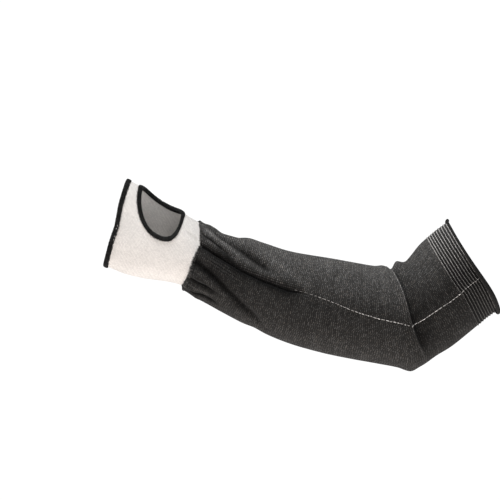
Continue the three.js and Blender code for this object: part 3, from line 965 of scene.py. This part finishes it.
# The overlocked bindings: a rounded channel on the cloth's edge, wrapped by close threads.
def channel():
    leg = binding_nose + clearance - binding_width
    top, bottom = cuff_wall + clearance, -clearance
    outline = [
        (leg, top), (leg, top + binding_thickness), (0, top + binding_thickness),
        (clearance + binding_nose, cuff_wall), (clearance + binding_nose, 0),
        (0, bottom - binding_thickness), (leg, bottom - binding_thickness), (leg, bottom),
        (clearance, bottom), (clearance, top),
    ]
    outline = np.array(outline, float)
    for _ in range(2):
        after = np.roll(outline, -1, axis=0)
        outline = np.stack([0.75 * outline + 0.25 * after, 0.25 * outline + 0.75 * after], 1).reshape(-1, 2)
    return outline


def wrap_path():
    """The way a wrapping thread goes over the channel: past the edge, and lift."""
    leg = binding_nose + clearance - binding_width
    top, bottom = cuff_wall + clearance + binding_thickness, -clearance - binding_thickness
    nose = clearance + binding_nose
    corners = np.array([
        (leg - 0.35, top - 0.85), (leg + 0.2, top + 0.05), (-0.4, top + 0.12),
        (nose - 0.5, cuff_wall + 0.75), (nose + 0.1, cuff_wall / 2), (nose - 0.5, -0.75),
        (-0.4, bottom - 0.12), (leg + 0.2, bottom - 0.05), (leg - 0.2, bottom + 0.5),
    ])
    at = np.linspace(0, len(corners) - 1, 15)
    return np.stack([np.interp(at, np.arange(len(corners)), corners[:, k]) for k in (0, 1)], 1)


def binding(name, node, place, ring_count, thread_count, slant):
    outline = channel()
    turn = np.arange(ring_count) / ring_count * 2 * np.pi
    rings = np.stack([place(turn, past, lift) for past, lift in outline[::-1]])
    p, c, s, _ = loft(rings, ring_count, np.zeros(len(outline)))
    body = (p, c, s, np.full(len(p), 0.15))
    path = wrap_path()
    start = (np.arange(thread_count) + rng.uniform(-0.18, 0.18, thread_count)) / thread_count * 2 * np.pi
    lean = np.linspace(-0.5, 0.5, len(path))[None] * slant
    turns_ = start[:, None] + lean
    puff = rng.uniform(-0.06, 0.1, thread_count)[:, None]
    past = np.broadcast_to(path[:, 0], turns_.shape).copy()
    reach = rng.uniform(-0.1, 0.7, thread_count)
    past[:, :2] -= reach[:, None]
    lift = path[:, 1][None] + puff * np.sign(path[:, 1] - cuff_wall / 2)[None]
    paths = place(turns_, past, lift)
    radius = rng.uniform(0.36, 0.47, thread_count)[:, None] * np.ones(len(path))
    radius[:, 0] *= 0.5
    radius[:, -1] *= 0.5
    threads = strands(paths, radius, 6, tone=rng.uniform(0.1, 0.7, thread_count))
    p, c, s, t = join_parts([body, threads])
    obj = new_object(name, p, c, s, None, overlock_black, t)
    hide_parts(node)
    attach(obj, "root")
    return obj


binding("palm_binding", "palm_edge_binding",
        lambda turn, past, lift: surface(cuff_edge + edge_wave(turn) - past, turn, lift), 240, 250, 0.03)


def thumb_place(turn, past, lift):
    # The leg on the cloth is narrower towards the wrist.
    narrow = 1 - 0.6 * bell(between(turn, 0.25), 0.7)
    return thumb_point(turn, np.where(past < 0, past * narrow, past), lift)


binding("thumb_binding", "thumb_hole_binding", thumb_place, 200, 176, 0.05)


# A few pale thread ends caught in the palm edge's overlock.
def pale_ends():
    spots = locate([(117.4, 225.6), (116.2, 228.6), (114.6, 236.2), (113.8, 239.4)])
    steps = np.linspace(-0.5, 0.5, 6)
    lean = np.array([0.5, -0.4, 0.9, 0.3])[:, None]
    angle = spots[:, 1:] + steps * 0.036
    along = spots[:, :1] + steps * lean * 2.4
    lift = cuff_wall + clearance + binding_thickness + 0.42 - 0.9 * (2 * steps) ** 4
    radius = 0.26 * np.sqrt(1.05 - (2 * steps) ** 2) * np.ones((4, 1))
    return strands(surface(along, angle, lift + 0 * along), radius, 6, tone=[0.5, 0.7, 0.35, 0.6])


p, c, s, t = pale_ends()
ends = new_object("pale_thread_ends", p, c, s, None, crease_pale, t)
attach(ends, "root")


# Threads of the wrist seam, which reach from the tube's edge onto the cuff.
def seam_threads():
    count = 190
    turn = (np.arange(count) + rng.uniform(-0.25, 0.25, count)) / count * 2 * np.pi
    reach = rng.uniform(0.9, 1.9, count)
    steps = np.linspace(0, 1, 8)
    edge = seam_edge(turn)
    top = tube_skin(edge + 0.1, turn)[2]
    inside = cuff_lift(edge, turn)
    along = edge[:, None] + 2.2 - (2.2 + reach[:, None]) * steps
    over = np.clip((along - edge[:, None]) / 1.2 + 0.75, 0, 1)
    lift = inside[:, None] + 0.25 + (top[:, None] + 0.15 - inside[:, None] - 0.25) * over
    lean = rng.uniform(0.2, 1.0, count)[:, None] * 0.03 * steps
    paths = surface(along, turn[:, None] + lean, lift)
    radius = rng.uniform(0.26, 0.4, count)[:, None] * np.ones(len(steps))
    radius[:, 0] *= 0.6
    radius[:, -1] *= 0.45
    return strands(paths, radius, 6, tone=rng.uniform(0.0, 0.9, count))


p, c, s, t = seam_threads()
teeth = new_object("wrist_seam_threads", p, c, s, None, teeth_dark, t)
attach(teeth, "root")


# The elastic band: a plain wall with shallow ribs, and a row of pale yarn loops on each.
stripe_count = 9
band_columns = 240
band_turns = np.arange(band_columns) / band_columns * 2 * np.pi
stripe_pitch = 3.12
stripe_places = 0.3 + np.arange(stripe_count) * stripe_pitch
stripe_places[-1] -= 0.2


def curl_size(angle):
    """Radius of the curled edge, which is rolled tighter on the near side above the crease."""
    size = curl_radius - curl_growth * np.cos(angle) + 0.12 * np.sin(angle * 4 + 1)
    size = size + 0.3 * bell(between(angle, 0), 0.16)
    return size * (1 - 0.52 * bell(between(angle, math.radians(48)), 0.66))


def edge_nudge(angle):
    """Small shifts of the curl, read off the photograph: on top of the arm and low on the near side."""
    return 1.3 * bell(between(angle, 0), 0.14) - 0.8 * bell(between(angle, 1.95), 0.4)


def curl_start(angle):
    """How far past the band's edge the curl starts, so that it ends in one line all round."""
    full = curl_radius - curl_growth * np.cos(angle)
    start = band_edge(angle) + full - np.minimum(curl_size(angle), full)
    return start - 1.3 * bell(between(angle, 1.3), 0.85) + edge_nudge(angle)


def band_place_of(distance, angle):
    """Place along of a distance over the band. The stripes keep their spacing, and what is left over
    goes to the plain margin at the rim."""
    striped = stripe_places[-1] + 0.4
    wave = band_wave(angle)
    rest = (curl_start(angle) - band_place - wave - striped) / (band_length - striped)
    return band_place + wave + np.where(distance < striped, distance, striped + (distance - striped) * rest)


def band_skin(distance, angle):
    """Place along and lift of the band's skin at a distance over the band, as if it were unstretched."""
    rib = 0.32 * np.cos((distance - stripe_places[0]) / stripe_pitch * 2 * np.pi)
    rib = rib * fade(distance, band_length - 3, band_length - 1)
    slack = 0.3 * np.sin(angle * 3 + 1.0) + 0.22 * np.sin(angle * 7 + distance * 0.2)
    lift = band_wall + 0.12 + rib + slack * (1 - fade(distance, 2, 12))
    return band_place_of(distance, angle), lift


def band_lift(along, angle):
    distance = np.array(along - band_place, float)
    for _ in range(8):
        distance = distance + along - band_place_of(distance, angle)
    return band_skin(distance, angle)[1]


band_steps = np.linspace(0, band_length, 110)
ba, bs = np.meshgrid(band_turns, band_steps, indexing="xy")
b_along, b_lift = band_skin(bs, ba)
b_outer = surface(b_along, ba, b_lift)
inner_steps = band_steps[::8]
inner_steps = np.append(inner_steps, band_length) if inner_steps[-1] < band_length else inner_steps
bia, bis = np.meshgrid(band_turns, inner_steps, indexing="xy")
bi_along, bi_lift = band_skin(bis, bia)
b_inner = surface(bi_along, bia, bi_lift - 1.3)[::-1]
bv = np.concatenate([b_along, bi_along[::-1]]) / course_pitch
p, c, s, uv = loft(np.concatenate([b_outer, b_inner]), wales, bv)
# Painted light: the band's yarn is painted paler on top of the arm and under it, palest right on top.
lit = 0.72 * painted_light_top_and_under(ba) * (1 + 0.7 * np.clip(np.cos(ba), 0, 1) ** 3)
band_tone = np.concatenate([lit, np.full_like(bia, 0.75)])
band_obj = new_object("upper_band", p, c, s, uv, band_dark, band_tone)


def stripe_loops():
    paths, radii, tones = [], [], []
    loops = 190
    for row, distance in enumerate(stripe_places):
        turn = (np.arange(loops) + 0.5 + rng.uniform(-0.08, 0.08, loops)) / loops * 2 * np.pi
        half = np.linspace(-0.5, 0.5, 5)[None] / loops * 2 * np.pi
        angle = turn[:, None] + half * rng.uniform(0.92, 1.06, loops)[:, None]
        away = rng.normal(0, 0.06, loops)[:, None]
        along, lift = band_skin(distance + away, angle)
        arch = np.array([-0.32, -0.14, -0.08, -0.14, -0.32])[None]
        paths.append(surface(along, angle, lift + arch))
        shape = np.array([0.2, 0.37, 0.43, 0.37, 0.2])[None]
        radii.append(shape * rng.uniform(0.9, 1.08, loops)[:, None])
        # Painted light: the loops are painted paler on top of the arm and a little darker under it, and the
        # last row is painted a little paler away from the top.
        up = np.cos(turn)
        level = 0.31 + 0.64 * np.clip(up, 0, 1) - 0.1 * np.clip(-up, 0, 1)
        if row == stripe_count - 1:
            level = level + 0.12 * (1 - np.clip(up, 0, 1))
        tones.append(rng.uniform(0.7, 1.0, loops) * level)
    return strands(np.concatenate(paths), np.concatenate(radii), 6, tone=np.concatenate(tones))


p, c, s, t = stripe_loops()
stripes = new_object("stripe_yarns", p, c, s, None, stripe_pale, t)


# The pale stitched crease along the near side of the tube and across the band.
crease_lines = [
    # Picture points, how strongly the line shows at its start, and whether it is on the band.
    ([(294.5, 289.5), (308.9, 293.5), (323.2, 298.7), (340, 305.2), (351.5, 310.4), (365.8, 315),
      (380.2, 319.3), (391.7, 321.6), (411, 326.0)], 0.08, False),
    ([(412.0, 327.0), (420, 322.4), (435.3, 311.8), (450.6, 301.8), (461.0, 293.9)], 0.8, False),
    ([(462.1, 293), (464.4, 289.6), (473.6, 282.7), (478.9, 278.9)], 0.9, True),
]


def crease_stitches():
    paths, radii, tones = [], [], []
    for pixels, first, on_band in crease_lines:
        line = trace(pixels)
        place, end = line[0, 0], line[-1, 0]
        while place < end - 1.0:
            length = rng.uniform(1.8, 4.4)
            share = (place - line[0, 0]) / (end - line[0, 0])
            weight = min(1, first + share * 1.5)
            along = np.linspace(place, min(place + length, end), 7)
            angle = np.interp(along, line[:, 0], line[:, 1]) + rng.normal(0, 0.002)
            lift = band_lift(along, angle) if on_band else on_tube(along, angle)
            arch = np.sin(np.linspace(0, np.pi, 7)) * 0.3
            paths.append(surface(along, angle, lift + arch - 0.05))
            size = rng.uniform(0.75, 1.15) * (0.5 + 0.5 * weight)
            radii.append((0.1 + 0.24 * np.sin(np.linspace(0.15, np.pi - 0.15, 7))) * size)
            tones.append(rng.uniform(0.25, 0.95) * (0.1 + 0.9 * weight))
            place += length + rng.uniform(0.2, 1.3) * (2.2 - 1.4 * weight)
    return strands(np.array(paths), np.array(radii), 8, tone=tones)


p, c, s, t = crease_stitches()
crease = new_object("crease_yarns", p, c, s, None, crease_pale, t)
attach(crease, "root")

# The curled edge: a roll that opens outwards, slacker under the arm.
def rolled():
    turn = np.linspace(0, 1, 22)
    angle = np.arange(band_columns) / band_columns * 2 * np.pi
    size = curl_size(angle)
    wall = np.minimum(1.15, 1.3 * size)
    rings = []
    for side in (1, -1):
        steps = turn if side == 1 else turn[::-1]
        for t in steps:
            bend = np.radians(245) * t
            radius = size - side * wall / 2
            past = clearance + radius * np.sin(bend)
            lift = band_wall / 2 + size - radius * np.cos(bend)
            rings.append(surface(curl_start(angle) + past, angle, lift))
    v = np.concatenate([turn * 6, 6 + turn * 6]) + band_end / course_pitch
    return loft(np.stack(rings), wales, v)


p, c, s, uv = rolled()
roll = new_object("curled_edge", p, c, s, uv, band_dark, np.ones(len(p)))

for obj, node, slot in (
    (tube, "arm_tube", "heather_knit"),
    (cuff, "hand_cuff", "white_knit"),
    (band_obj, "elastic_band", "striped_elastic"),
    (roll, "rolled_edge", "heather_knit"),
):
    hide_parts(node)
    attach(obj, "root")
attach(stripes, "root")


# Stage, light and camera.
def plain(name, level, glow):
    g = Graph(bpy.data.materials.new(name))
    material = g.finish(grey(level), 1.0, None, 0, specular=0.0)
    shader = material.node_tree.nodes["Principled BSDF"]
    shader.inputs["Emission Color"].default_value = (1, 1, 1, 1)
    shader.inputs["Emission Strength"].default_value = glow
    return material


def floor(level, half):
    mesh = bpy.data.meshes.new("floor")
    corners = [(-half, -half, level), (half, -half, level), (half, half, level), (-half, half, level)]
    mesh.from_pydata(corners, [], [(0, 1, 2, 3)])
    mesh.materials.append(plain("floor_white", 0.95, 0.5))
    obj = bpy.data.objects.new("floor", mesh)
    bpy.context.scene.collection.objects.link(obj)


floor(level=-2.2, half=50.0)


def area_light(name, place, aim, size, power, colour=(1, 1, 1)):
    data = bpy.data.lights.new(name, "AREA")
    data.shape = "RECTANGLE"
    data.size, data.size_y = size
    data.energy = power
    data.color = colour
    obj = bpy.data.objects.new(name, data)
    obj.location = place
    obj.rotation_euler = (Vector(aim) - Vector(place)).to_track_quat("-Z", "Y").to_euler()
    obj.visible_camera = False
    bpy.context.scene.collection.objects.link(obj)


area_light("key", (-0.5, -0.55, 2.2), (-0.1, 0, 0.02), (1.2, 0.9), 56)
area_light("front", (0.2, -3.0, 0.6), (-0.1, 0, 0.02), (1.6, 1.2), 8.5)
area_light("under", (-0.25, -0.6, -0.9), (-0.15, 0, 0.0), (1.6, 0.8), 11.5, (1.0, 0.88, 0.8))


def studio():
    """Soft light from all round, brightest in a band at the horizon. Below it the level is the floor's."""
    world = bpy.data.worlds.new("studio")
    g = Graph(world)
    place = g.node("ShaderNodeTexCoord")
    split = g.node("ShaderNodeSeparateXYZ")
    g.links.new(place.outputs["Generated"], split.inputs[0])
    up = split.outputs[2]
    below = g.math("MINIMUM", g.times(up, -1), 0.083)
    background = g.node("ShaderNodeBackground")
    background.inputs["Color"].default_value = (1, 1, 1, 1)
    level = g.smooth(g.math("MAXIMUM", up, below), 0.05, 0.12, 1.05, 0.16)
    g.links.new(level, background.inputs["Strength"])
    output = g.node("ShaderNodeOutputWorld")
    g.links.new(background.outputs[0], output.inputs["Surface"])
    bpy.context.scene.world = world
    bpy.context.scene.view_settings.view_transform = "Standard"


studio()

camera_data = bpy.data.cameras.new("camera")
camera_data.sensor_fit = "HORIZONTAL"
camera_data.sensor_width = 36.0
camera_data.lens = camera_data.sensor_width * camera_distance / (picture_size * pixel)
camera_data.clip_end = 200
camera = bpy.data.objects.new("camera", camera_data)
camera.location = (view_centre[0] / 1000, -camera_distance / 1000, view_centre[1] / 1000)
camera.rotation_euler = (math.radians(90), 0, 0)
bpy.context.scene.collection.objects.link(camera)
bpy.context.scene.camera = camera
